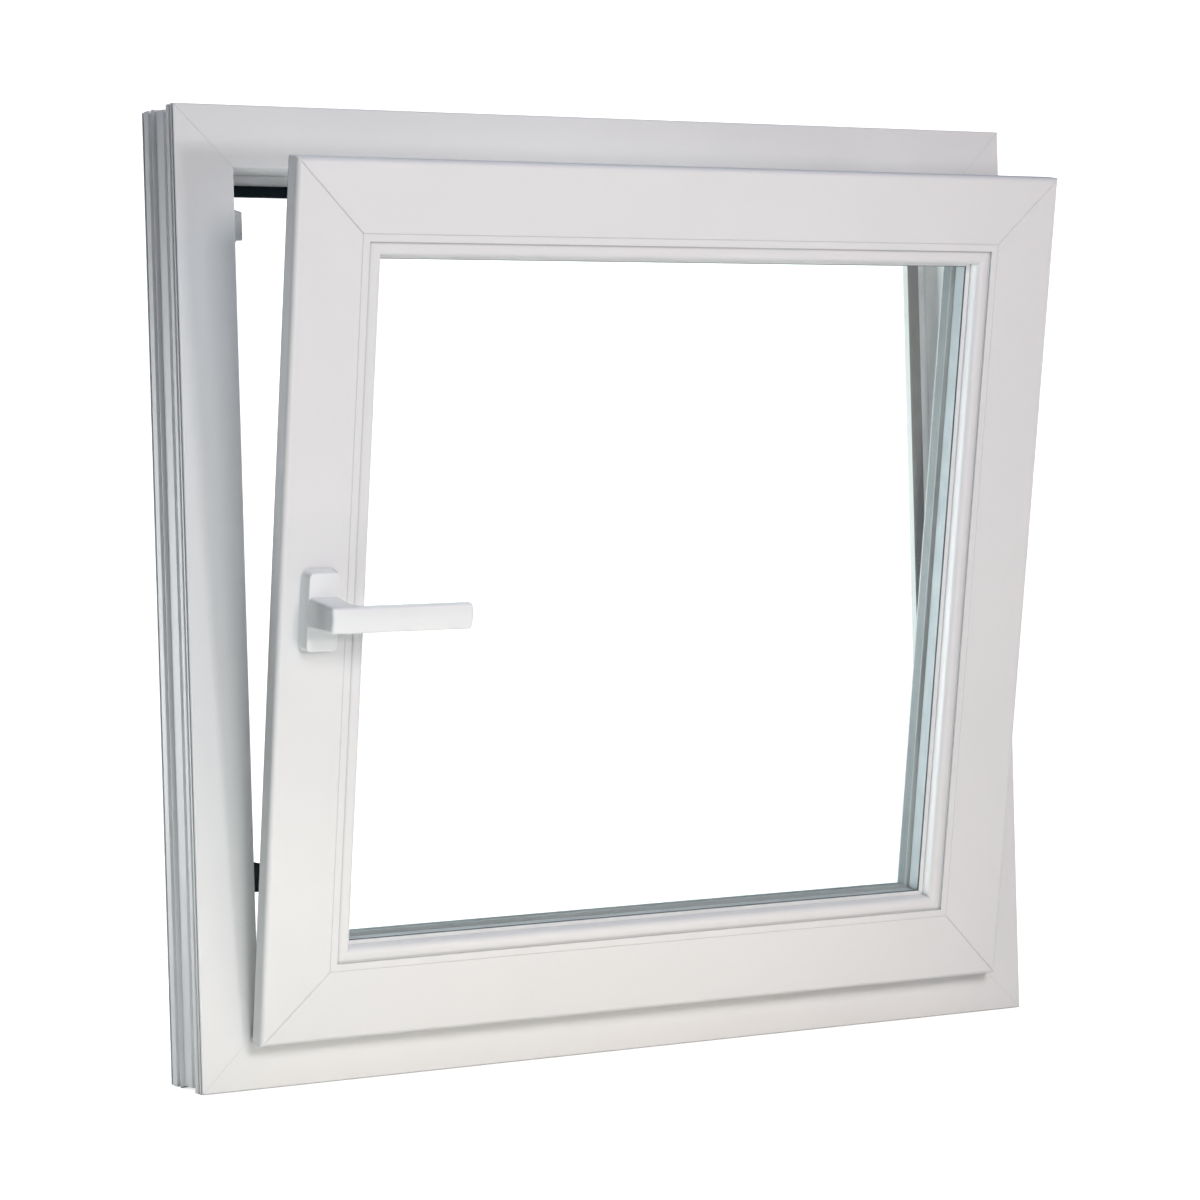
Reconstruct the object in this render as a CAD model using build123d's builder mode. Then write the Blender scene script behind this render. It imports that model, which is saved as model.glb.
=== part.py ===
import os
from math import asin, atan2, cos, degrees, hypot, radians, sin, sqrt

from build123d import *

os.makedirs("parts", exist_ok=True)

# Driving dimensions, in millimetres and degrees.
# Depths run from the room side to the outside, along +Y; heights run along +Z.

# Outer frame
frame_width = 800.0
frame_height = 800.0
frame_depth = 70.0
frame_face = 51.0  # outside edge to rebate, on the room face
frame_lip = 18.0  # weather lip, above the rebate floor
lip_slope_width = 6.0  # bevel on the lip's outside edge
lip_slope_depth = 10.0
frame_edge_radius = 1.2
origin_depth = 14.0  # room face to the origin, on the flat land under the sill

# Shallow wall channel, clip grooves and fine grooves round the outside of the frame
wall_channel_depth = 1.6
wall_channel_start = 19.0
wall_channel_width = 35.0
clip_groove_places = (20.5, 37.5, 54.5)
clip_groove_width = 3.0
clip_groove_depth = 6.0
fine_groove_places = (3.0, 9.6, 67.0)
fine_groove_width = 1.5
fine_groove_depth = 2.6

# Sash
sash_overlap = 9.0  # flange over the frame's face
air_gap = 14.0  # hardware space between rebate floor and sash
seal_gap = 6.0  # flange to frame, and sash to lip, with the sash shut
flange_thickness = 18.0
sash_depth = 70.0
sash_face = 58.5  # sash edge to the bead's seam
sash_edge_radius = 4.0
flange_back_radius = 1.5
leg_slope_width = 7.0  # bevel on the outside of the glazing leg
leg_slope_depth = 12.0
weld_groove = 1.0  # fine groove along each welded mitre

# Tilt axis and the open angle
tilt_angle = 10.4
tilt_axis_depth = 4.0
tilt_axis_height = 46.0

# Glazing bead and sealed glass unit
bead_width = 17.5
bead_depth = 15.0
bead_strip = 6.0  # flat strip, flush with the sash face
bead_groove_width = 1.0
bead_groove_depth = 2.4
bead_roll_level = 1.0  # sash face to the roll's crown
bead_roll_radius = 5.0  # roll's fall to the upright edge beside the glass
seam_bevel = 0.5  # on both edges of the seam between sash and bead
gasket_thickness = 3.0
gasket_width = 8.0
gasket_proud = 2.9  # gasket past the bead's edge
pane_thickness = 4.0
cavity_thickness = 16.0
glass_edge_gap = 5.0  # pane edge to the glazing rebate
spacer_inset = 4.0  # pane edge to the spacer bar
spacer_height = 8.5

# Seals
lip_seal_width = 9.4
lip_seal_overhang = 0.6  # past the lip's tip
overlap_seal_width = 6.0
overlap_seal_inset = 1.6  # from the sash edge
seal_free = 1.0  # left between a seal and the face that it meets
seal_joint = 0.2  # at each end of a seal or spacer bar

# Hardware groove round the sash
faceplate_width = 16.0
faceplate_thickness = 3.0
faceplate_inset = 60.0  # sash edge to the faceplate's end
groove_axis = 13.0  # flange back to the groove's middle
groove_channel_width = 12.0
groove_channel_depth = 9.0

# Locking cams and the keeps on the handle side
cam_radius = 4.0
cam_head_radius = 5.5
cam_height = 7.5
cam_head_height = 2.5
keep_height = 7.0
keep_start = 3.0  # room face to the keep
keep_width = 17.0
keep_length = 25.0
keep_slot_width = 9.0
keep_slot_depth = 4.0
keep_edge = 1.0
keep_ramp = 2.0  # fall of the keep's upper end, away from the jamb
upper_keep_drop = 97.0  # frame's top to the keep's middle
lower_keep_rise = 173.0  # frame's foot to the keep's middle
cam_offset = 24.0  # cam below its keep, with the handle level

# Tilt bearings between the sill and the sash
bearing_inset = 130.0  # frame's side to the bearing's middle
bearing_width = 16.0
bearing_height = 11.0
bearing_thickness = 5.0
bearing_depth = 26.0  # room face to the bearing's middle
foot_pin_height = 3.5  # pin above the rebate floor, sash shut
foot_pin_radius = 2.0
foot_thickness = 4.0
foot_width = 12.0
foot_sole = 0.5  # foot below its pin
foot_clearance = 1.0
pin_clearance = 0.3

# Stay arm between the head and the sash
stay_length = 300.0
stay_width = 18.0
stay_thickness = 3.0
stay_pivot_inset = 130.0  # frame's side to the arm's pivot
stay_drop = 7.0  # rebate ceiling to the arm's middle
stay_pin_radius = 3.0
stay_head_radius = 6.0
stay_head_height = 1.6
stay_stud_radius = 3.5
stay_stud_reach = 8.2  # arm's middle to the stud's end
stay_slot_end = 3.0  # free length at each end of the stud's slot
stay_base_length = 44.0
stay_base_width = 12.0
stay_base_thickness = 3.0

# Handle
handle_backset = 33.5  # sash edge to the handle's axis
handle_rise = 1.2  # axis above the middle of the sash
plate_width = 30.5
plate_height = 67.0
plate_depth = 12.0
plate_corner = 6.0
plate_draft = 9.5
plate_edge = 1.2
collar_radius = 9.5  # round foot of the lever, let into the plate
collar_depth = 3.0
neck_width = 26.0  # at the plate
neck_height = 25.0
lever_reach = 50.0  # sash face to the lever's front
lever_thickness = 10.0
lever_length = 114.0  # handle axis to the lever's tip
lever_height = 21.0  # at its front
lever_heel = 8.5  # handle axis to the lever's blunt end
lever_crown = 2.6  # bulge of the lever's front
lever_inner_bend = 9.0
lever_edge = 2.8
lever_gap = 0.3  # running gap between lever and plate

# Rainwater slots on the outside of the sill
drain_slot_length = 28.0
drain_slot_height = 5.0
drain_slot_depth = 6.0
drain_slot_offset = 240.0
drain_slot_level = 26.0

# Sizes that follow
room_face = -origin_depth
mid_height = frame_height / 2
lip_tip = frame_face + frame_lip
lip_face = sash_depth - flange_thickness
sash_inset = frame_face - sash_overlap
sash_width = frame_width - 2 * sash_inset
sash_height = frame_height - 2 * sash_inset
sash_room_face = room_face - seal_gap - flange_thickness
flange_reach = sash_overlap + air_gap
sightline = sash_face + bead_width
glass_face = bead_depth + gasket_thickness
outer_pane_face = glass_face + pane_thickness + cavity_thickness
leg_face = outer_pane_face + pane_thickness + gasket_thickness
pane_inset = sash_face + glass_edge_gap
groove_depth = flange_thickness + groove_axis
tilt_axis_y = room_face + tilt_axis_depth
track_y = sash_room_face + groove_depth
bearing_offset = frame_width / 2 - bearing_inset
stay_pivot_x = frame_width / 2 - stay_pivot_inset
upper_keep_height = frame_height - upper_keep_drop
faceplate_height = sash_height - 2 * faceplate_inset
faceplate_span = sash_width - 2 * faceplate_inset
sill_floor = frame_face
head_ceiling = frame_height - frame_face
sash_foot_level = frame_face + air_gap


def turned_about(height, y, angle):
    """Location that turns about an axis along X through the given height and depth."""
    return Location((0, y, height)) * Location((0, 0, 0), (angle, 0, 0)) * Location((0, -y, -height))


shut_to_open = turned_about(tilt_axis_height, tilt_axis_y, tilt_angle)


def on_sash(plane):
    """Plane drawn on the shut sash, carried to the open one."""
    return Plane(shut_to_open * plane.location)


def on_frame(plane):
    return plane


# Inward direction and run of the four sides of a rectangular ring
sides = {
    "sill": (Vector(0, 0, 1), Vector(-1, 0, 0)),
    "head": (Vector(0, 0, -1), Vector(1, 0, 0)),
    "left": (Vector(1, 0, 0), Vector(0, 0, 1)),
    "right": (Vector(-1, 0, 0), Vector(0, 0, -1)),
}


def mitred_bar(section, side, width, height, face_y, place, joint=0.0, welded_face=0.0):
    """One side of a ring: a section run along the side, cut at 45 degrees at both ends.

    A welded bar gets half of a fine groove along each mitre, across its face.
    """
    inward, along = sides[side]
    across = height if side in ("sill", "head") else width
    length = width if side in ("sill", "head") else height
    corner = Vector(0, face_y, mid_height) - inward * (across / 2)
    run = place(Plane(corner, x_dir=inward, z_dir=along))
    profile = section(run)
    with BuildPart() as bar:
        add(profile)
        extrude(amount=length / 2, dir=run.z_dir, both=True)
        for end in (along, -along):
            tip = corner + end * (length / 2)
            mitre = place(Plane(tip, x_dir=(0, 1, 0), z_dir=-inward - end))
            split(bisect_by=mitre.offset(joint), keep=Keep.TOP)
            if welded_face:
                with BuildSketch(place(Plane(tip, x_dir=(0, 1, 0), z_dir=inward - end))):
                    Rectangle(weld_groove, weld_groove, rotation=45)
                extrude(amount=welded_face * sqrt(2), mode=Mode.SUBTRACT)
    return bar.part


def keep_node(name, shape):
    """Label a finished piece and write it out."""
    shape.label = name
    export_step(shape, f"parts/{name}.step")


# Outer frame: four mitred members with a rebate, a weather lip and wall grooves
def frame_section(plane):
    with BuildSketch(plane) as section:
        with BuildLine():
            Polyline(
                (0, 0),
                (frame_face, 0),
                (frame_face, lip_face),
                (lip_tip, lip_face),
                (lip_tip, frame_depth - lip_slope_depth),
                (lip_tip - lip_slope_width, frame_depth),
                (0, frame_depth),
                close=True,
            )
        make_face()
        fillet(section.vertices().group_by(Axis.Y)[0], radius=frame_edge_radius)
        with Locations((0, wall_channel_start + wall_channel_width / 2)):
            Rectangle(2 * wall_channel_depth, wall_channel_width, mode=Mode.SUBTRACT)
        with Locations([(0, place) for place in clip_groove_places]):
            Rectangle(2 * clip_groove_depth, clip_groove_width, mode=Mode.SUBTRACT)
        with Locations([(0, place) for place in fine_groove_places]):
            Rectangle(2 * fine_groove_depth, fine_groove_width, mode=Mode.SUBTRACT)
    return section.sketch


frame_members = {
    side: mitred_bar(
        frame_section, side, frame_width, frame_height, room_face, on_frame, welded_face=frame_face
    )
    for side in sides
}

with BuildPart() as frame_sill:
    add(frame_members["sill"])
    outside = Plane((0, room_face + frame_depth, drain_slot_level), x_dir=(-1, 0, 0), z_dir=(0, 1, 0))
    with BuildSketch(outside):
        with GridLocations(2 * drain_slot_offset, 0, 2, 1):
            SlotOverall(drain_slot_length, drain_slot_height)
    extrude(amount=-drain_slot_depth, mode=Mode.SUBTRACT)

keep_node("frame_sill", frame_sill.part)
keep_node("frame_head", frame_members["head"])
keep_node("frame_jamb_left", frame_members["left"])
keep_node("frame_jamb_right", frame_members["right"])


# Black weather seal on the lip, facing the sash
def lip_seal_section(plane):
    with BuildSketch(plane) as section:
        with Locations((lip_tip + lip_seal_overhang, lip_face)):
            Rectangle(lip_seal_width, seal_gap - seal_free, align=(Align.MAX, Align.MAX))
        fillet(section.vertices().group_by(Axis.Y)[0], radius=(seal_gap - seal_free) / 2)
    return section.sketch


lip_seals = [
    mitred_bar(lip_seal_section, side, frame_width, frame_height, room_face, on_frame, joint=seal_joint)
    for side in sides
]
keep_node("frame_lip_seal", Compound(children=lip_seals))


# Sash: four mitred members with an overlap flange, a hardware groove and a glazing leg
def sash_section(plane):
    with BuildSketch(plane) as section:
        with BuildLine():
            Polyline(
                (0, 0),
                (sash_face, 0),
                (sash_face, leg_face),
                (sightline, leg_face),
                (sightline, sash_depth - leg_slope_depth),
                (sightline - leg_slope_width, sash_depth),
                (flange_reach, sash_depth),
                (flange_reach, flange_thickness),
                (0, flange_thickness),
                close=True,
            )
        make_face()
        fillet(section.vertices().group_by(Axis.X)[0].sort_by(Axis.Y)[0], radius=sash_edge_radius)
        fillet(section.vertices().group_by(Axis.X)[0].sort_by(Axis.Y)[-1], radius=flange_back_radius)
        seam_edge = section.vertices().sort_by_distance((sash_face, 0))[0]
        chamfer(seam_edge, length=seam_bevel)
        with Locations((flange_reach, groove_depth)):
            Rectangle(2 * faceplate_thickness, faceplate_width, mode=Mode.SUBTRACT)
            Rectangle(2 * groove_channel_depth, groove_channel_width, mode=Mode.SUBTRACT)
    return section.sketch


sash_names = {
    "sill": "sash_bottom_rail",
    "head": "sash_top_rail",
    "left": "sash_stile_left",
    "right": "sash_stile_right",
}
for side, name in sash_names.items():
    member = mitred_bar(
        sash_section, side, sash_width, sash_height, sash_room_face, on_sash, welded_face=sash_face
    )
    keep_node(name, member)


# Black seal on the back of the overlap flange
def overlap_seal_section(plane):
    with BuildSketch(plane) as section:
        with Locations((overlap_seal_inset + overlap_seal_width / 2, flange_thickness)):
            Rectangle(overlap_seal_width, seal_gap - seal_free, align=(Align.CENTER, Align.MIN))
        fillet(section.vertices().group_by(Axis.Y)[-1], radius=(seal_gap - seal_free) / 2)
    return section.sketch


overlap_seals = [
    mitred_bar(
        overlap_seal_section, side, sash_width, sash_height, sash_room_face, on_sash, joint=seal_joint
    )
    for side in sides
]
keep_node("sash_overlap_seal", Compound(children=overlap_seals))


# Glazing beads: a flush strip, a groove and a rounded roll beside the glass
def bead_section(plane):
    strip_end = sash_face + bead_strip
    roll_start = (strip_end + bead_groove_width, bead_groove_depth)
    crown = (sightline - bead_roll_radius, bead_roll_level)
    roll_end = (sightline, bead_roll_level + bead_roll_radius)
    with BuildSketch(plane) as section:
        with BuildLine():
            Polyline(roll_end, (sightline, bead_depth), (sash_face, bead_depth), (sash_face, seam_bevel))
            Polyline((sash_face, seam_bevel), (sash_face + seam_bevel, 0), (strip_end, 0))
            Polyline((strip_end, 0), (strip_end, bead_groove_depth), roll_start)
            TangentArc(crown, roll_start, tangent=(-1, 0))
            TangentArc(crown, roll_end, tangent=(1, 0))
        make_face()
    return section.sketch


bead_names = {
    "sill": "glazing_bead_bottom",
    "head": "glazing_bead_top",
    "left": "glazing_bead_left",
    "right": "glazing_bead_right",
}
for side, name in bead_names.items():
    bead = mitred_bar(bead_section, side, sash_width, sash_height, sash_room_face, on_sash)
    keep_node(name, bead)


# Glazing gaskets on both sides of the glass, each with a lip that slopes down to its pane
def gasket_section(plane, back, pane):
    tip = sightline + gasket_proud
    heel = tip - gasket_width
    with BuildSketch(plane) as section:
        with BuildLine():
            Polyline(
                (heel, back),
                (sightline, back),
                (tip, (back + pane) / 2),
                (tip, pane),
                (heel, pane),
                close=True,
            )
        make_face()
    return section.sketch


gasket_faces = {
    "glazing_gasket_room": (bead_depth, glass_face),
    "glazing_gasket_outside": (leg_face, leg_face - gasket_thickness),
}
for name, (back, pane) in gasket_faces.items():
    gaskets = [
        mitred_bar(
            lambda plane: gasket_section(plane, back, pane),
            side, sash_width, sash_height, sash_room_face, on_sash, joint=seal_joint,
        )
        for side in sides
    ]
    keep_node(name, Compound(children=gaskets))

# Sealed glass unit: two panes and the spacer bars between them
pane_width = sash_width - 2 * pane_inset
pane_height = sash_height - 2 * pane_inset
for name, face in (("glass_pane_room", glass_face), ("glass_pane_outside", outer_pane_face)):
    with BuildPart() as pane:
        middle = Vector(0, sash_room_face + face, mid_height)
        with BuildSketch(on_sash(Plane(middle, x_dir=(-1, 0, 0), z_dir=(0, 1, 0)))):
            Rectangle(pane_width, pane_height)
        extrude(amount=pane_thickness)
    keep_node(name, pane.part)


def spacer_section(plane):
    with BuildSketch(plane) as section:
        with Locations((pane_inset + spacer_inset, glass_face + pane_thickness)):
            Rectangle(spacer_height, cavity_thickness, align=(Align.MIN, Align.MIN))
    return section.sketch


spacers = [
    mitred_bar(spacer_section, side, sash_width, sash_height, sash_room_face, on_sash, joint=seal_joint)
    for side in sides
]
keep_node("glass_spacer", Compound(children=spacers))


# Faceplates let into the sash groove, with locking cams on the two stiles
def groove_plane(side):
    """Plane on the sash's outer edge, on the groove's middle line, facing out of the sash."""
    inward, along = sides[side]
    half = sash_height / 2 if side in ("sill", "head") else sash_width / 2
    point = Vector(0, track_y, mid_height) - inward * (half - flange_reach)
    return on_sash(Plane(point, x_dir=along, z_dir=-inward))


def locking_bar(side, cam_places):
    with BuildPart() as bar:
        with BuildSketch(groove_plane(side)):
            SlotOverall(faceplate_height, faceplate_width)
        extrude(amount=-faceplate_thickness)
        for place in cam_places:
            with BuildSketch(groove_plane(side)):
                with Locations((place, 0)):
                    Circle(cam_radius)
            extrude(amount=cam_height)
            with BuildSketch(groove_plane(side).offset(cam_height - cam_head_height)):
                with Locations((place, 0)):
                    Circle(cam_head_radius)
            extrude(amount=cam_head_height)
    return bar.part


handle_side_cams = [height - cam_offset - mid_height for height in (upper_keep_height, lower_keep_rise)]
keep_node("locking_bar_left", locking_bar("left", handle_side_cams))
keep_node("locking_bar_right", locking_bar("right", [0]))

# Keeps screwed to the handle-side jamb, each with a slot for the cam
for name, level in (("keep_upper", upper_keep_height), ("keep_lower", lower_keep_rise)):
    keep_y = room_face + keep_start + keep_width / 2
    jamb_wall = Plane((frame_face - frame_width / 2, keep_y, level), x_dir=(0, 1, 0), z_dir=(1, 0, 0))
    with BuildPart() as keep:
        with BuildSketch(jamb_wall):
            RectangleRounded(keep_width, keep_length, keep_edge)
        extrude(amount=keep_height)
        with BuildSketch(jamb_wall.offset(keep_height)):
            Rectangle(keep_slot_width, keep_length)
        extrude(amount=-keep_slot_depth, mode=Mode.SUBTRACT)
        upper_end = (jamb_wall * Location((0, keep_length / 2, 0))).position
        split(bisect_by=Plane(upper_end, z_dir=(keep_ramp, 0, keep_height)), keep=Keep.BOTTOM)
    keep_node(name, keep.part)

# Tilt bearings on the sill: each has an arc slot centred on the tilt axis
pin_rise = frame_face + foot_pin_height - tilt_axis_height
pin_run = bearing_depth - tilt_axis_depth
pin_orbit = hypot(pin_run, pin_rise)
pin_angle = degrees(atan2(pin_rise, pin_run))
pin_path = CenterArc((0, 0), pin_orbit, pin_angle, tilt_angle)
side_view = {
    x: Plane((x, tilt_axis_y, tilt_axis_height), x_dir=(0, 1, 0), z_dir=(1, 0, 0))
    for x in (-bearing_offset, bearing_offset)
}
bearings = []
feet = []
for x, view in side_view.items():
    with BuildPart() as bearing:
        with BuildSketch(view):
            with Locations((pin_run, sill_floor - tilt_axis_height)):
                Rectangle(bearing_width, bearing_height, align=(Align.CENTER, Align.MIN))
            SlotArc(pin_path, 2 * (foot_pin_radius + pin_clearance), mode=Mode.SUBTRACT)
        extrude(amount=bearing_thickness / 2, both=True)
    bearings.append(bearing.part)

    with BuildPart() as foot:
        beside = view.offset(bearing_thickness / 2 + foot_clearance)
        foot_top = sash_foot_level - tilt_axis_height
        foot_height = air_gap - foot_pin_height + foot_pin_radius + foot_sole
        with BuildSketch(on_sash(beside)):
            with Locations((pin_run, foot_top)):
                Rectangle(foot_width, foot_height, align=(Align.CENTER, Align.MAX))
        extrude(amount=foot_thickness)
        with BuildSketch(on_sash(beside)):
            with Locations((pin_run, pin_rise)):
                Circle(foot_pin_radius)
        extrude(amount=-bearing_thickness - foot_clearance)
    feet.append(foot.part)
keep_node("tilt_bearings", Compound(children=bearings))
keep_node("tilt_feet", Compound(children=feet))

# Stay arm: swings out of the head as the sash tilts, its stud running in the top faceplate.
# Its axis leans by half the tilt so that the stud follows the sash's arc.
stay_height = head_ceiling - stay_drop
stay_radius = hypot(track_y - tilt_axis_y, stay_height - tilt_axis_height)
stay_lean = tilt_angle / 2 - degrees(atan2(track_y - tilt_axis_y, stay_height - tilt_axis_height))
stay_opening = 2 * stay_radius * sin(radians(tilt_angle / 2))
stay_swing = degrees(asin(stay_opening / stay_length))
stay_normal = (0, -sin(radians(stay_lean)), cos(radians(stay_lean)))
stay_plane = Plane((stay_pivot_x, track_y, stay_height), x_dir=(-1, 0, 0), z_dir=stay_normal)
stay_tip = (stay_length * cos(radians(stay_swing)), stay_length * sin(radians(stay_swing)))

with BuildPart() as stay_arm:
    with BuildSketch(stay_plane):
        with Locations((stay_tip[0] / 2, stay_tip[1] / 2)):
            SlotCenterToCenter(stay_length, stay_width, rotation=stay_swing)
        Circle(stay_pin_radius + pin_clearance, mode=Mode.SUBTRACT)
    extrude(amount=stay_thickness / 2, both=True)
    with BuildSketch(stay_plane):
        with Locations(stay_tip):
            Circle(stay_stud_radius)
    extrude(amount=-stay_stud_reach)
keep_node("stay_arm", stay_arm.part)

with BuildPart() as stay_bearing:
    with BuildSketch(Plane((stay_pivot_x, track_y, head_ceiling), x_dir=(1, 0, 0), z_dir=(0, 0, -1))):
        RectangleRounded(stay_base_length, stay_base_width, stay_base_width / 4)
    extrude(amount=stay_base_thickness)
    with BuildSketch(stay_plane):
        Circle(stay_pin_radius)
    extrude(amount=stay_drop - stay_base_thickness / 2)
    with BuildSketch(stay_plane):
        Circle(stay_pin_radius)
    extrude(amount=-stay_thickness / 2 - pin_clearance)
    with BuildSketch(stay_plane.offset(-stay_thickness / 2 - pin_clearance)):
        Circle(stay_head_radius)
    extrude(amount=-stay_head_height)
keep_node("stay_bearing", stay_bearing.part)

stud_travel = stay_length - stay_tip[0]
slot_middle = stay_pivot_x - stay_length + stud_travel / 2
with BuildPart() as stay_track:
    with BuildSketch(groove_plane("head")):
        SlotOverall(faceplate_span, faceplate_width)
        with Locations((slot_middle, 0)):
            SlotCenterToCenter(stud_travel + 2 * stay_slot_end, groove_channel_width, mode=Mode.SUBTRACT)
    extrude(amount=-faceplate_thickness)
keep_node("stay_track", stay_track.part)

# Handle: a drafted backplate on the sash and a cranked lever that turns on it
handle_x = handle_backset - sash_width / 2
handle_z = mid_height + handle_rise
handle_face = on_sash(Plane((handle_x, sash_room_face, handle_z), x_dir=(1, 0, 0), z_dir=(0, -1, 0)))
with BuildPart() as handle_plate:
    with BuildSketch(handle_face):
        RectangleRounded(plate_width, plate_height, plate_corner)
    extrude(amount=plate_depth, taper=plate_draft)
    plate_front = handle_plate.faces().sort_by(Axis(handle_face.origin, handle_face.z_dir))[-1]
    fillet(plate_front.edges(), radius=plate_edge)
    with BuildSketch(handle_face.offset(plate_depth)):
        Circle(collar_radius + lever_gap)
    extrude(amount=-collar_depth - lever_gap, mode=Mode.SUBTRACT)
keep_node("handle_plate", handle_plate.part)

lever_plan = on_sash(Plane((handle_x, sash_room_face, handle_z), x_dir=(1, 0, 0), z_dir=(0, 0, -1)))
lever_side = on_sash(Plane((handle_x, sash_room_face, handle_z), x_dir=(0, -1, 0), z_dir=(-1, 0, 0)))
neck_start = plate_depth + lever_gap
lever_back = lever_reach - lever_thickness
lever_brow = lever_reach - lever_crown
with BuildPart() as handle_lever:
    with BuildSketch(lever_plan) as plan:
        with BuildLine():
            Polyline(
                (-neck_width / 2, neck_start),
                (-lever_heel, lever_reach),
                (lever_length, lever_reach),
                (lever_length, lever_back),
                (neck_width / 2, lever_back),
                (neck_width / 2, neck_start),
                close=True,
            )
        make_face()
        inner_corner = plan.vertices().sort_by_distance((neck_width / 2, lever_back))[0]
        fillet(inner_corner, radius=lever_inner_bend)
    extrude(amount=neck_height / 2, both=True)
    with BuildSketch(lever_side):
        with BuildLine():
            Polyline(
                (lever_brow, lever_height / 2),
                (neck_start, neck_height / 2),
                (neck_start, -neck_height / 2),
                (lever_brow, -lever_height / 2),
            )
            ThreePointArc((lever_brow, -lever_height / 2), (lever_reach, 0), (lever_brow, lever_height / 2))
        make_face()
    extrude(amount=lever_length, both=True, mode=Mode.INTERSECT)
    rounded_edges = handle_lever.edges().filter_by(
        lambda edge: handle_face.to_local_coords(edge.center()).Z > neck_start + lever_gap
    )
    fillet(rounded_edges, radius=lever_edge)
    with BuildSketch(handle_face.offset(neck_start)):
        Circle(collar_radius)
    extrude(amount=-collar_depth)
keep_node("handle_lever", handle_lever.part)
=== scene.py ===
import math

import bmesh
import bpy
from mathutils import Matrix, Vector


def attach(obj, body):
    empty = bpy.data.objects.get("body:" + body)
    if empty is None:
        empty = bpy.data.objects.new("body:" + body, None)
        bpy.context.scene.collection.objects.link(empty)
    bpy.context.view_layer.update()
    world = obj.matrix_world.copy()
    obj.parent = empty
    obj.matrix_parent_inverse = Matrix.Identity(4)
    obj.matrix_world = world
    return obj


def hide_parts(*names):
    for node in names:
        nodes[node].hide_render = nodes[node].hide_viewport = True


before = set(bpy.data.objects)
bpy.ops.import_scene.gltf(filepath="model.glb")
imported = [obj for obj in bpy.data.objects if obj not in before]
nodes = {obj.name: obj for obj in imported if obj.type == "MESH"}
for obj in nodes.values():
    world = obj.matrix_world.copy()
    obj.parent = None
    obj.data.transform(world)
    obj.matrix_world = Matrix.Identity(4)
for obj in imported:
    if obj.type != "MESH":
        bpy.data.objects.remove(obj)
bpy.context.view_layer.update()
scene = bpy.context.scene
print("frame loaded:", len(nodes), "nodes")


# small helpers for node materials
def newMaterial(name):
    material = bpy.data.materials.new(name)
    material.use_nodes = True
    tree = material.node_tree
    shader = tree.nodes["Principled BSDF"]
    return material, tree, shader


def addNode(tree, kind, **values):
    node = tree.nodes.new(kind)
    for key, value in values.items():
        if key in node.inputs:
            node.inputs[key].default_value = value
        else:
            setattr(node, key, value)
    return node


def noiseAlong(tree, stretch, detail=3.0):
    # noise in the object's own space, stretched by a scale on each axis
    place = addNode(tree, "ShaderNodeTexCoord")
    mapping = addNode(tree, "ShaderNodeMapping", Scale=stretch)
    noise = addNode(tree, "ShaderNodeTexNoise", Scale=1.0, Detail=detail)
    tree.links.new(place.outputs["Object"], mapping.inputs["Vector"])
    tree.links.new(mapping.outputs["Vector"], noise.inputs["Vector"])
    return noise.outputs["Fac"]


noiseBand = (0.3, 0.7)  # the part of the noise that carries most of its change


def rampBetween(tree, factor, stops):
    ramp = addNode(tree, "ShaderNodeValToRGB")
    for element, (position, colour) in zip(ramp.color_ramp.elements, stops):
        element.position = position
        element.color = (*colour, 1)
    tree.links.new(factor, ramp.inputs["Fac"])
    return ramp.outputs["Color"]


def tintBetween(tree, factor, dark, light):
    return rampBetween(tree, factor, zip(noiseBand, (dark, light)))


def rangeBetween(tree, factor, low, high):
    spread = addNode(tree, "ShaderNodeMapRange")
    spread.inputs["From Min"].default_value, spread.inputs["From Max"].default_value = noiseBand
    spread.inputs["To Min"].default_value = low
    spread.inputs["To Max"].default_value = high
    tree.links.new(factor, spread.inputs["Value"])
    return spread.outputs["Result"]


def bumpFrom(tree, shader, height, strength, distance):
    bump = addNode(tree, "ShaderNodeBump", Strength=strength, Distance=distance)
    tree.links.new(height, bump.inputs["Height"])
    tree.links.new(bump.outputs["Normal"], shader.inputs["Normal"])


def creaseShade(tree, colour, crease):
    # painted shade: colour darkened where other surfaces close in, in seams, gaps and grooves
    near = addNode(tree, "ShaderNodeAmbientOcclusion", samples=crease["samples"])
    near.inputs["Distance"].default_value = crease["reach"]
    stops = ((crease["deep"], crease["paintedShade"]), (crease["unshaded"], (1, 1, 1)))
    paintedShade = rampBetween(tree, near.outputs["AO"], stops)
    mix = addNode(tree, "ShaderNodeMix", data_type="RGBA", blend_type="MULTIPLY")
    mix.inputs["Factor"].default_value = 1.0
    tree.links.new(colour, mix.inputs[6])  # the colour sockets of the mix
    tree.links.new(paintedShade, mix.inputs[7])
    return mix.outputs[2]


def surface(settings, stretchBump):
    # one finish: cloudy colour, uneven gloss and a fine relief, with painted shade in the creases where the
    # settings hold a crease entry
    material, tree, shader = newMaterial(settings["name"])
    clouds = noiseAlong(tree, (settings["cloudScale"],) * 3)
    colour = tintBetween(tree, clouds, settings["dark"], settings["light"])
    if "crease" in settings:
        colour = creaseShade(tree, colour, settings["crease"])
    tree.links.new(colour, shader.inputs["Base Color"])
    relief = noiseAlong(tree, stretchBump, settings.get("detail", 3.0))
    tree.links.new(rangeBetween(tree, relief, *settings["roughness"]), shader.inputs["Roughness"])
    bumpFrom(tree, shader, relief, settings["bump"], settings["bumpDepth"])
    shader.inputs["Metallic"].default_value = settings.get("metallic", 0.0)
    shader.inputs["Specular IOR Level"].default_value = settings.get("specular", 0.5)
    return material


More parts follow.
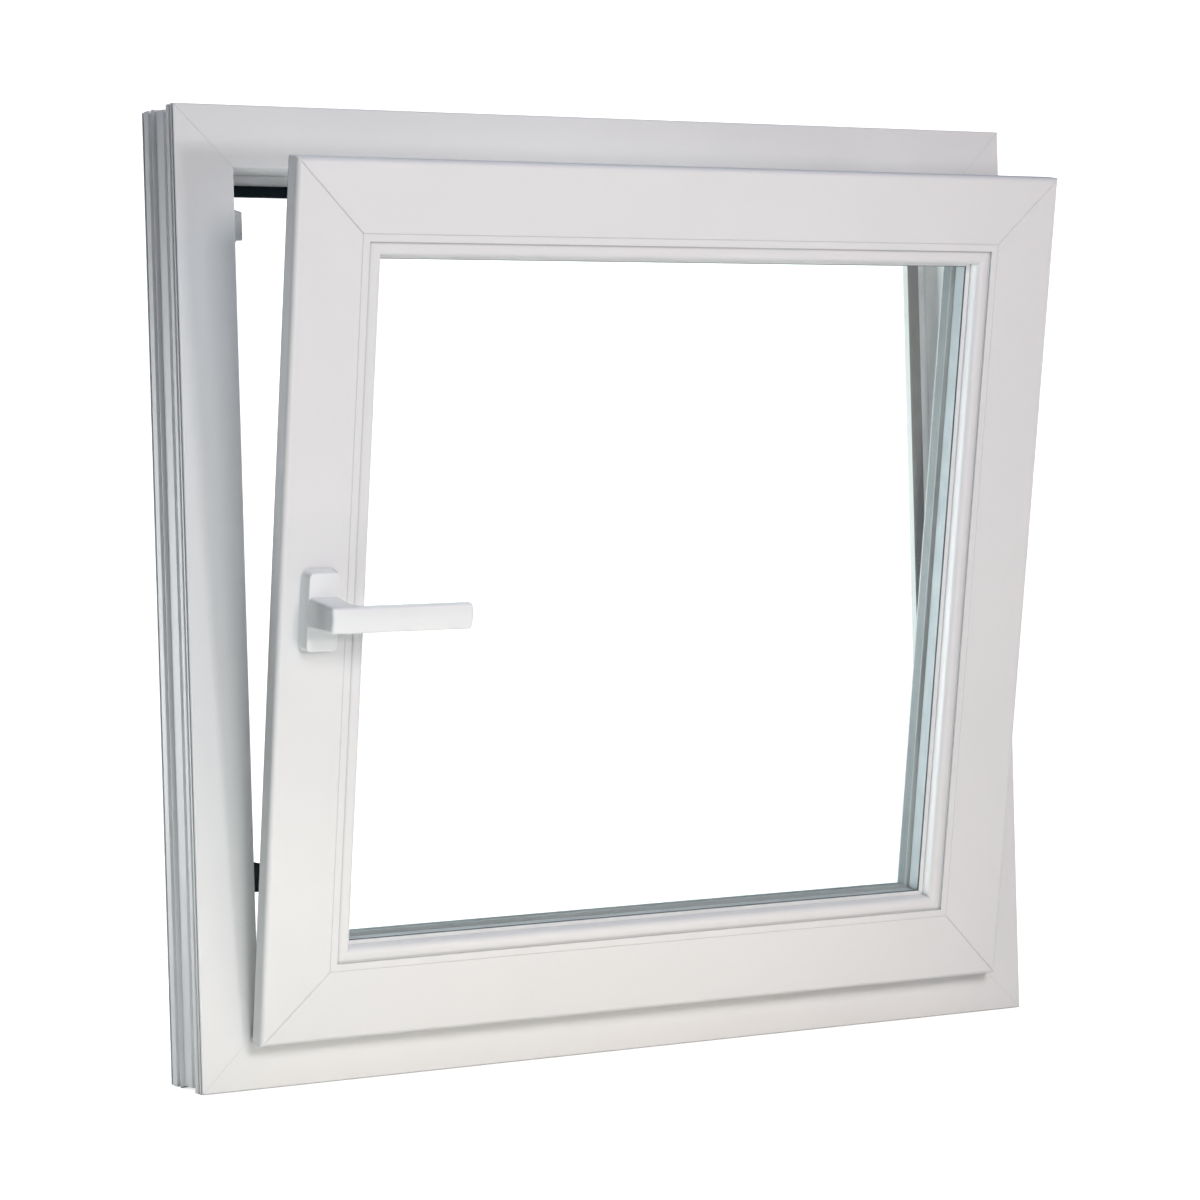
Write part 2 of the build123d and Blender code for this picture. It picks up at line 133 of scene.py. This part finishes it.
# white plastic, with faint draw lines along each extruded bar
pvcSettings = {
    "name": "whitePvc",
    "dark": (0.795, 0.797, 0.803),
    "light": (0.825, 0.826, 0.829),
    "cloudScale": 5.0,
    "roughness": (0.46, 0.56),
    "specular": 0.4,
    "bump": 0.06,
    "bumpDepth": 0.00025,
    "along": 2.0,
    "across": 420.0,
    # painted shade in seams, gaps and grooves: colour darkened by how closely other surfaces hem each point in
    "crease": {"reach": 0.004, "samples": 8, "deep": 0.3, "unshaded": 0.8, "paintedShade": (0.48, 0.5, 0.52)},
}


def pvcAlong(direction):
    along, across = pvcSettings["along"], pvcSettings["across"]
    stretch = (along, across, across) if direction == "level" else (across, across, along)
    return surface({**pvcSettings, "name": pvcSettings["name"] + direction.capitalize()}, stretch)


pvcLevel = pvcAlong("level")
pvcUpright = pvcAlong("upright")

# powder coat on the handle: cooler, glossier, with a light orange peel
handleSettings = {
    "name": "handleWhite",
    "dark": (0.885, 0.905, 0.91),
    "light": (0.90, 0.92, 0.925),
    "cloudScale": 20.0,
    "roughness": (0.14, 0.2),
    "bump": 0.02,
    "bumpDepth": 0.0002,
    "peel": 350.0,
}
handleWhite = surface(handleSettings, (handleSettings["peel"],) * 3)

# black seal rubber
sealSettings = {
    "name": "sealBlack",
    "dark": (0.002, 0.006, 0.009),
    "light": (0.004, 0.010, 0.014),
    "cloudScale": 30.0,
    "roughness": (0.5, 0.65),
    "specular": 0.06,
    "bump": 0.25,
    "bumpDepth": 0.0003,
    "grain": 1400.0,
}
sealBlack = surface(sealSettings, (sealSettings["grain"],) * 3)

# gaskets beside the glass: white on the room side, grey on the outside
gasketSettings = {
    "name": "gasketWhite",
    "dark": (0.74, 0.75, 0.755),
    "light": (0.79, 0.80, 0.805),
    "cloudScale": 25.0,
    "roughness": (0.45, 0.6),
    "bump": 0.1,
    "bumpDepth": 0.0002,
    "grain": 600.0,
}
gasketWhite = surface(gasketSettings, (gasketSettings["grain"],) * 3)
outerGasketSettings = {
    **gasketSettings,
    "name": "gasketGrey",
    "dark": (0.30, 0.33, 0.34),
    "light": (0.36, 0.39, 0.40),
}
gasketGrey = surface(outerGasketSettings, (outerGasketSettings["grain"],) * 3)

# dull aluminium of the spacer bars
spacerSettings = {
    "name": "spacerAluminium",
    "dark": (0.34, 0.385, 0.405),
    "light": (0.39, 0.435, 0.455),
    "cloudScale": 40.0,
    "roughness": (0.55, 0.65),
    "bump": 0.1,
    "bumpDepth": 0.0002,
    "grain": 500.0,
    "metallic": 0.25,
    "specular": 0.2,
}
spacerAluminium = surface(spacerSettings, (spacerSettings["grain"],) * 3)

# zinc plate on the concealed fittings
steelSettings = {
    "name": "zincPlate",
    "dark": (0.52, 0.54, 0.56),
    "light": (0.68, 0.70, 0.72),
    "cloudScale": 60.0,
    "roughness": (0.28, 0.42),
    "bump": 0.15,
    "bumpDepth": 0.0003,
    "grain": 500.0,
    "brushed": 40.0,
    "metallic": 1.0,
}
zincPlate = surface(steelSettings, (steelSettings["grain"], steelSettings["grain"], steelSettings["brushed"]))

# grey casting of the upper keep
castSettings = {
    "name": "castZinc",
    "dark": (0.44, 0.46, 0.47),
    "light": (0.55, 0.57, 0.58),
    "cloudScale": 90.0,
    "roughness": (0.45, 0.6),
    "bump": 0.4,
    "bumpDepth": 0.0006,
    "grain": 800.0,
    "metallic": 0.3,
}
castZinc = surface(castSettings, (castSettings["grain"],) * 3)

# black moulded plastic of the lower keep
blackSettings = {
    "name": "mouldedBlack",
    "dark": (0.012, 0.014, 0.014),
    "light": (0.022, 0.024, 0.024),
    "cloudScale": 80.0,
    "roughness": (0.4, 0.55),
    "bump": 0.3,
    "bumpDepth": 0.0004,
    "grain": 900.0,
}
mouldedBlack = surface(blackSettings, (blackSettings["grain"],) * 3)

# clear float glass with a slight green cast
glassSettings = {
    "name": "floatGlass",
    "dark": (0.955, 0.985, 0.975),
    "light": (0.965, 0.99, 0.98),
    "cloudScale": 3.0,
    "ior": 1.5,
}


def makeGlass():
    material, tree, shader = newMaterial(glassSettings["name"])
    clouds = noiseAlong(tree, (glassSettings["cloudScale"],) * 3)
    tint = tintBetween(tree, clouds, glassSettings["dark"], glassSettings["light"])
    tree.links.new(tint, shader.inputs["Base Color"])
    shader.inputs["Roughness"].default_value = 0.0
    shader.inputs["IOR"].default_value = glassSettings["ior"]
    shader.inputs["Transmission Weight"].default_value = 1.0
    return material


floatGlass = makeGlass()

finishes = {
    "frame_head": pvcLevel,
    "frame_sill": pvcLevel,
    "frame_jamb_left": pvcUpright,
    "frame_jamb_right": pvcUpright,
    "sash_top_rail": pvcLevel,
    "sash_bottom_rail": pvcLevel,
    "sash_stile_left": pvcUpright,
    "sash_stile_right": pvcUpright,
    "glazing_bead_top": pvcLevel,
    "glazing_bead_bottom": pvcLevel,
    "glazing_bead_left": pvcUpright,
    "glazing_bead_right": pvcUpright,
    "frame_lip_seal": sealBlack,
    "sash_overlap_seal": sealBlack,
    "glazing_gasket_room": gasketWhite,
    "glazing_gasket_outside": gasketGrey,
    "glass_pane_room": floatGlass,
    "glass_pane_outside": floatGlass,
    "glass_spacer": spacerAluminium,
    "keep_upper": castZinc,
    "keep_lower": mouldedBlack,
    "locking_bar_left": zincPlate,
    "locking_bar_right": zincPlate,
    "stay_track": zincPlate,
    "stay_arm": zincPlate,
    "stay_bearing": zincPlate,
    "tilt_bearings": zincPlate,
    "tilt_feet": zincPlate,
    "handle_plate": handleWhite,
    "handle_lever": handleWhite,
}
for name, material in finishes.items():
    nodes[name].data.materials.clear()
    nodes[name].data.materials.append(material)
for name in ("glass_pane_room", "glass_pane_outside"):
    nodes[name].visible_shadow = False  # light passes through to what is behind
    nodes[name].visible_diffuse = False
print("finishes set:", len(finishes))


def pieceFrom(name, shape):
    # an object in the scene with the given shape, which is used up
    mesh = bpy.data.meshes.new(name)
    shape.to_mesh(mesh)
    shape.free()
    piece = bpy.data.objects.new(name, mesh)
    scene.collection.objects.link(piece)
    return piece


def applyAll(piece):
    # keep the shape that the modifiers give
    shown = piece.evaluated_get(bpy.context.evaluated_depsgraph_get())
    mesh = bpy.data.meshes.new_from_object(shown)
    piece.modifiers.clear()
    piece.data = mesh


def joinRings(shape, here, there):
    # side faces between two closed rings of points
    for i in range(len(here)):
        j = (i + 1) % len(here)
        shape.faces.new((here[i], here[j], there[j], there[i]))


# outer frame: one section run round the opening, mitred at its corners
frameBarSettings = {
    "half": 0.4,  # half of the frame's width and of its height
    "roomFace": -0.014,
    "edge": {"width": 0.00035, "segments": 2},  # round on each edge, and half of each weld seam
    # inset from the outer edge and depth from the room face, in millimetres
    "face": (
        (0.35, 0.35), (1.2, 0), (49.8, 0), (50.65, 0.35), (51, 1.2),
        (51, 52), (69, 52), (69, 60), (63, 70), (0, 70),
    ),
    "grooves": (
        (0, 68.8), (3, 68.8), (3, 65.8), (0, 65.8),
        (0, 56.4), (8, 56.4), (8, 49), (0, 49),
        (0, 47.6), (2.2, 44.8), (2.2, 27.6), (7, 27.6), (7, 16), (0, 16),
        (0, 9.6), (4, 9.6), (4, 6), (0, 6),
        (0, 3.4), (3.4, 3.4), (3.4, 0.8), (0, 0.8),
    ),
    "drain": {
        "length": 0.028,
        "height": 0.005,
        "depth": 0.006,
        "past": 0.002,  # how far the cutter stands out of the sill
        "offset": 0.24,
        "level": 0.026,
        "back": 0.056,
        "steps": 24,
    },
}


def frameBar(name, inward, along):
    half = frameBarSettings["half"]
    middle = Vector((0, frameBarSettings["roomFace"], half))
    shape = bmesh.new()
    ends = []
    for end in (-1, 1):
        ring = []
        for inset, depth in frameBarSettings["face"] + frameBarSettings["grooves"]:
            reach = half - inset / 1000
            place = middle - inward * reach + along * end * reach
            ring.append(shape.verts.new(place + Vector((0, depth / 1000, 0))))
        ends.append(ring)
        shape.faces.new(ring)
    joinRings(shape, *ends)
    bmesh.ops.recalc_face_normals(shape, faces=shape.faces)
    return pieceFrom(name, shape)


def drainCutter():
    # two round-ended slots through the outside of the sill
    drain = frameBarSettings["drain"]
    bend, straight = drain["height"] / 2, (drain["length"] - drain["height"]) / 2
    shape = bmesh.new()
    for side in (-1, 1):
        ring = []
        for step in range(drain["steps"]):
            angle = math.tau * step / drain["steps"]
            shift = straight if math.cos(angle) > 0 else -straight
            x = side * drain["offset"] + shift + bend * math.cos(angle)
            z = drain["level"] + bend * math.sin(angle)
            ring.append(shape.verts.new((x, drain["back"] - drain["depth"], z)))
        slot = shape.faces.new(ring)
        grown = bmesh.ops.extrude_face_region(shape, geom=[slot])
        moved = [item for item in grown["geom"] if isinstance(item, bmesh.types.BMVert)]
        bmesh.ops.translate(shape, verts=moved, vec=(0, drain["depth"] + drain["past"], 0))
    bmesh.ops.recalc_face_normals(shape, faces=shape.faces)
    return pieceFrom("drainCutter", shape)


def dressFrame():
    up, right = Vector((0, 0, 1)), Vector((1, 0, 0))
    for name, node, inward, along in (
        ("frameBarHead", "frame_head", -up, right),
        ("frameBarSill", "frame_sill", up, right),
        ("frameBarLeft", "frame_jamb_left", right, up),
        ("frameBarRight", "frame_jamb_right", -right, up),
    ):
        bar = frameBar(name, inward, along)
        bar.data.materials.append(finishes[node])
        bevel = bar.modifiers.new("edges", "BEVEL")
        bevel.width = frameBarSettings["edge"]["width"]
        bevel.segments = frameBarSettings["edge"]["segments"]
        cutter = None
        if node == "frame_sill":
            cutter = drainCutter()
            cut = bar.modifiers.new("drain", "BOOLEAN")
            cut.object = cutter
        applyAll(bar)
        if cutter:
            bpy.data.objects.remove(cutter)
        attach(bar, "frame")
        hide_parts(node)


dressFrame()
print("frame bars dressed")

# the sash is drawn shut and then carried to its open place
sashSettings = {"half": 0.358, "middle": 0.4, "roomFace": -0.038, "axis": (0, -0.010, 0.046), "open": 10.4}


def sashOpen():
    axis = Vector(sashSettings["axis"])
    turn = Matrix.Rotation(math.radians(sashSettings["open"]), 4, "X")
    return Matrix.Translation(axis) @ turn @ Matrix.Translation(-axis)


# rings beside the glass that carry painted shade: inset from the sash edge and depth from its face, in
# millimetres
glazingRings = {
    # a near-black strip of painted shade at the gasket tip, for the shaded gap between gasket and pane
    "gapShadeStrip": {
        "section": ((78.5, 16.6), (79.0, 16.6), (79.4, 17.2), (79.5, 17.95), (78.5, 17.95)),
        "finish": "lip",
    },
    # a dark grey sheet of painted shade over the inner face of the sash's outer leg
    "legShadeSheet": {
        "section": (
            (76.02, 45.3), (77.0, 45.3), (77.0, 46.6), (76.6, 47.2),
            (76.6, 57.2), (76.3, 57.7), (76.02, 57.7),
        ),
        "finish": "legShade",
    },
}
# painted shade: a near-black strip for the shaded gap between gasket tip and pane
gapShadeSettings = {**gasketSettings, "name": "paintedGapShade", "dark": (0.04, 0.05, 0.06), "light": (0.06, 0.07, 0.08)}
# painted shade: a dark grey sheet over the sash's outer leg, for the shade that falls on it
legShadeSettings = {**gasketSettings, "name": "paintedLegShade", "dark": (0.15, 0.19, 0.21), "light": (0.19, 0.23, 0.25)}
ringFinishes = {
    "lip": surface(gapShadeSettings, (gapShadeSettings["grain"],) * 3),
    "legShade": surface(legShadeSettings, (legShadeSettings["grain"],) * 3),
}


def glazingRing(name, settings):
    shape = bmesh.new()
    corners = []
    for side, rise in ((-1, -1), (1, -1), (1, 1), (-1, 1)):
        corner = []
        for inset, depth in settings["section"]:
            reach = sashSettings["half"] - inset / 1000
            y = sashSettings["roomFace"] + depth / 1000
            corner.append(shape.verts.new((side * reach, y, sashSettings["middle"] + rise * reach)))
        corners.append(corner)
    for here, there in zip(corners, corners[1:] + corners[:1]):
        joinRings(shape, here, there)
    bmesh.ops.recalc_face_normals(shape, faces=shape.faces)
    bmesh.ops.transform(shape, matrix=sashOpen(), verts=shape.verts)
    ring = pieceFrom(name, shape)
    ring.data.materials.append(ringFinishes[settings["finish"]])
    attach(ring, "sash")


for name, settings in glazingRings.items():
    glazingRing(name, settings)

# cross-slot screws on the faceplates, the keeps and the stay's base
screwSettings = {
    "radius": 0.0027,
    "crown": 0.0005,
    "dome": ((0.0, 1.0), (0.55, 0.9), (0.85, 0.55), (1.0, 0.0), (1.0, -1.0)),  # parts of radius and crown
    "steps": 28,
    "slot": (0.0034, 0.0007, 0.0008),
    "twist": 0.7,  # each screw is turned on from the one before
    "barScrews": {
        "body": "sash",
        "places": [((-0.335, -0.007, z), (-1, 0, 0)) for z in (0.116, 0.262, 0.400, 0.538, 0.648)]
        + [((0.335, -0.007, z), (1, 0, 0)) for z in (0.116, 0.262, 0.538, 0.684)]
        + [((x, -0.007, 0.735), (0, 0, 1)) for x in (-0.284, -0.150, 0.120, 0.284)],
    },
    "keepScrews": {
        "body": "frame",
        "places": [((-0.346, -0.0025, z), (1, 0, 0)) for z in (0.1665, 0.1775, 0.6965, 0.7075)],
    },
    "stayBaseScrews": {
        "body": "frame",
        "places": [((x, -0.007, 0.746), (0, 0, -1)) for x in (0.2535, 0.2865)],
    },
}


def screwHead():
    # a low dome, turned, with a cross cut into it
    radius, crown = screwSettings["radius"], screwSettings["crown"]
    shape = bmesh.new()
    line = [shape.verts.new((radius * out, 0, crown * up)) for out, up in screwSettings["dome"]]
    edges = [shape.edges.new(pair) for pair in zip(line, line[1:])]
    turning = {"cent": (0, 0, 0), "axis": (0, 0, 1), "angle": math.tau, "steps": screwSettings["steps"]}
    bmesh.ops.spin(shape, geom=line + edges, **turning)
    bmesh.ops.remove_doubles(shape, verts=shape.verts, dist=1e-6)
    bmesh.ops.holes_fill(shape, edges=shape.edges)
    bmesh.ops.recalc_face_normals(shape, faces=shape.faces)
    head = pieceFrom("screwHead", shape)
    length, width, depth = screwSettings["slot"]
    shape = bmesh.new()
    for size in ((length, width, depth), (width, length, depth)):
        bmesh.ops.create_cube(shape, matrix=Matrix.Translation((0, 0, crown)) @ Matrix.Diagonal((*size, 1)))
    cutter = pieceFrom("crossCutter", shape)
    cut = head.modifiers.new("cross", "BOOLEAN")
    cut.object = cutter
    cut.use_self = True  # the two bars of the cross overlap
    applyAll(head)
    headMesh = head.data
    bpy.data.objects.remove(head)
    bpy.data.objects.remove(cutter)
    return headMesh


def makeScrews():
    head = screwHead()
    for name in ("barScrews", "keepScrews", "stayBaseScrews"):
        settings = screwSettings[name]
        carry = sashOpen() if settings["body"] == "sash" else Matrix()
        shape = bmesh.new()
        for count, (place, facing) in enumerate(settings["places"]):
            turn = Matrix.Rotation(screwSettings["twist"] * count, 4, "Z")
            upright = Vector(facing).to_track_quat("Z", "Y").to_matrix().to_4x4()
            copy = head.copy()
            copy.transform(carry @ Matrix.Translation(place) @ upright @ turn)
            shape.from_mesh(copy)
            bpy.data.meshes.remove(copy)
        screws = pieceFrom(name, shape)
        screws.data.materials.append(zincPlate)
        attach(screws, settings["body"])
    bpy.data.meshes.remove(head)


makeScrews()
print("gasket rings and screws set")

# floor, for the studio only: one that is seen, one that throws light back
floorSettings = {
    "studioFloor": {"level": -0.0004, "glow": (0.8, 1.3), "fade": (0.5, 2.4), "seen": True},
    "bounceFloor": {"level": -0.0008, "seen": False},
}
floorShared = {
    "radius": 40.0,
    "spokes": 96,
    "dark": (0.80, 0.798, 0.79),
    "light": (0.82, 0.818, 0.81),
    "cloudScale": 0.8,
    "roughness": 0.8,
    "glowColour": (1.0, 0.995, 0.985),
}


def floorGlow(tree, shader, settings):
    # the floor brightens away from the window until it meets the surround
    shader.inputs["Emission Color"].default_value = (*floorShared["glowColour"], 1)
    place = addNode(tree, "ShaderNodeTexCoord")
    reach = addNode(tree, "ShaderNodeVectorMath", operation="LENGTH")
    fade = addNode(tree, "ShaderNodeMapRange", interpolation_type="SMOOTHSTEP")
    fade.inputs["From Min"].default_value, fade.inputs["From Max"].default_value = settings["fade"]
    fade.inputs["To Min"].default_value, fade.inputs["To Max"].default_value = settings["glow"]
    tree.links.new(place.outputs["Object"], reach.inputs[0])
    tree.links.new(reach.outputs["Value"], fade.inputs["Value"])
    tree.links.new(fade.outputs["Result"], shader.inputs["Emission Strength"])


def makeFloor(name, settings):
    shape = bmesh.new()
    rim = {"segments": floorShared["spokes"], "radius": floorShared["radius"]}
    bmesh.ops.create_circle(shape, cap_ends=True, **rim)
    bmesh.ops.translate(shape, verts=shape.verts, vec=(0, 0, settings["level"]))
    floor = pieceFrom(name, shape)
    material, tree, shader = newMaterial(name)
    clouds = noiseAlong(tree, (floorShared["cloudScale"],) * 3)
    colour = tintBetween(tree, clouds, floorShared["dark"], floorShared["light"])
    tree.links.new(colour, shader.inputs["Base Color"])
    shader.inputs["Roughness"].default_value = floorShared["roughness"]
    if "glow" in settings:
        floorGlow(tree, shader, settings)
    floor.data.materials.append(material)
    seen = settings["seen"]
    floor.visible_camera = floor.visible_transmission = seen
    floor.visible_diffuse = floor.visible_glossy = floor.visible_shadow = not seen


for name, settings in floorSettings.items():
    makeFloor(name, settings)

# studio light: soft boxes aimed at the window, and a pale surround
aim = Vector((0, -0.05, 0.4))
lampSettings = {
    "boxMid": {"at": (-0.3, -2.9, 1.6), "size": 0.7, "watts": 32.6, "colour": (0.965, 0.98, 0.99)},
    "boxRightHigh": {"at": (1.45, -2.6, 1.5), "size": 1.0, "watts": 4.9, "colour": (1.0, 0.5, 0.25)},
    "boxTop": {"at": (0.0, -0.6, 2.6), "size": 2.0, "watts": 6.8, "colour": (0.25, 0.48, 1.0)},
    "spotFront": {"at": (-0.02, -1.36, 0.55), "size": 0.14, "watts": 3.75, "colour": (1.0, 0.94, 0.94)},
    "boxSideFar": {
        "at": (-0.95, 1.45, 0.5),
        "size": 0.5,
        "watts": 7.2,
        "colour": (0.93, 0.98, 1.0),
        "aim": (-0.4, 0.0, 0.4),
    },
    "boxSideLow": {
        "at": (-1.0, 1.3, 0.14),
        "size": 0.4,
        "watts": 5.9,
        "colour": (0.96, 0.97, 1.0),
        "aim": (-0.4, 0.0, 0.3),
    },
    "boxTopBack": {
        "at": (0.1, 1.1, 2.4),
        "size": 1.2,
        "watts": 11.0,
        "colour": (0.97, 1.0, 1.0),
        "aim": (0.0, 0.0, 0.2),
    },
    "stripSill": {
        "at": (-0.12, -0.34, 0.02),
        "size": 0.8,
        "high": 0.06,
        "watts": 0.36,
        "colour": (1.0, 0.91, 0.71),
        "aim": (-0.12, 0.0, 0.03),
    },
    "boxJambFoot": {
        "at": (-0.62, -0.42, 0.03),
        "size": 0.2,
        "watts": 0.57,
        "colour": (0.91, 1.0, 0.95),
        "aim": (-0.38, 0.0, 0.1),
    },
    "boxInside": {
        "at": (-0.25, 0.75, 0.42),
        "size": 0.4,
        "watts": 3.8,
        "colour": (0.93, 1.0, 1.0),
        "aim": (0.36, 0.0, 0.42),
    },
    "boxRight": {
        "at": (2.3, 0.3, 0.8),
        "size": 1.0,
        "watts": 15.0,
        "colour": (1.0, 1.0, 1.0),
        "aim": (0.4, 0.0, 0.4),
    },
}


def makeLamp(name, settings):
    data = bpy.data.lights.new(name, "AREA")
    data.shape = "RECTANGLE"
    data.size = settings["size"]
    data.size_y = settings.get("high", settings["size"])
    data.energy = settings["watts"]
    data.color = settings["colour"]
    lamp = bpy.data.objects.new(name, data)
    lamp.location = settings["at"]
    target = Vector(settings.get("aim", aim))
    lamp.rotation_euler = (target - lamp.location).to_track_quat("-Z", "Y").to_euler()
    lamp.visible_camera = False
    scene.collection.objects.link(lamp)


for name, settings in lampSettings.items():
    makeLamp(name, settings)

# pale surround: white where it is seen, softer as light
surroundSettings = {"seen": 1.3, "light": 0.05, "colour": (1.0, 1.0, 1.0)}


def makeSurround():
    world = bpy.data.worlds.new("paleSurround")
    world.use_nodes = True
    tree = world.node_tree
    glow = tree.nodes["Background"]
    glow.inputs["Color"].default_value = (*surroundSettings["colour"], 1)
    glow.inputs["Strength"].default_value = surroundSettings["light"]
    seen = addNode(tree, "ShaderNodeBackground", Strength=surroundSettings["seen"])
    seen.inputs["Color"].default_value = (*surroundSettings["colour"], 1)
    path = addNode(tree, "ShaderNodeLightPath")
    either = addNode(tree, "ShaderNodeMath", operation="MAXIMUM")
    mix = addNode(tree, "ShaderNodeMixShader")
    tree.links.new(path.outputs["Is Camera Ray"], either.inputs[0])
    tree.links.new(path.outputs["Is Transmission Ray"], either.inputs[1])
    tree.links.new(either.outputs[0], mix.inputs["Fac"])
    tree.links.new(glow.outputs[0], mix.inputs[1])
    tree.links.new(seen.outputs[0], mix.inputs[2])
    tree.links.new(mix.outputs[0], tree.nodes["World Output"].inputs["Surface"])
    scene.world = world


makeSurround()
scene.view_settings.view_transform = "Standard"

# camera at the photo's place
cameraSettings = {
    "at": (-1.41418, -2.62100, 0.44524),
    "turn": (88.88209, 1.60240, -28.10033),
    "lens": 103.548,
    "sensor": 36.0,
    "farthest": 200,
}


def makeCamera():
    data = bpy.data.cameras.new("photoCamera")
    data.lens = cameraSettings["lens"]
    data.sensor_width = cameraSettings["sensor"]
    data.clip_end = cameraSettings["farthest"]
    camera = bpy.data.objects.new("photoCamera", data)
    camera.location = cameraSettings["at"]
    camera.rotation_euler = [math.radians(angle) for angle in cameraSettings["turn"]]
    scene.collection.objects.link(camera)
    scene.camera = camera


makeCamera()
print("light and camera set")
